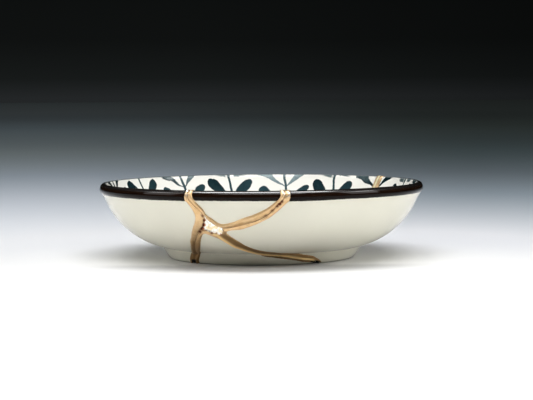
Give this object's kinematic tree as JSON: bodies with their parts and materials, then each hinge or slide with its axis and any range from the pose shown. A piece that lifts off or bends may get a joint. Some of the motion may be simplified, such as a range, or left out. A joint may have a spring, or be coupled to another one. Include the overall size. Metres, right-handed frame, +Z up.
{
  "type": "kintsugi plate",
  "caption": "Shallow round porcelain dish on a foot ring, broken into shards and mended with raised gold lacquer seams.",
  "frame": {"origin": "on the surface the dish stands on, under the middle of its foot ring", "axes": "+Z up, along the dish's axis; -Y towards the side where the seams meet, which faces the viewer; +X to the viewer's right"},
  "size_m": [0.182, 0.1826, 0.0435],
  "materials": {
    "porcelain": "clear glossy glaze over white, painted inside in blue-black, with a brown-black band on the lip",
    "gold_lacquer": "gold powder burnished on raised lacquer"
  },
  "bodies": {
    "root": {"shard_left": "porcelain", "shard_right": "porcelain", "shard_foot_front": "porcelain", "shard_rim_front": "porcelain", "gold_seam": "gold_lacquer"}
  },
  "joints": []
}
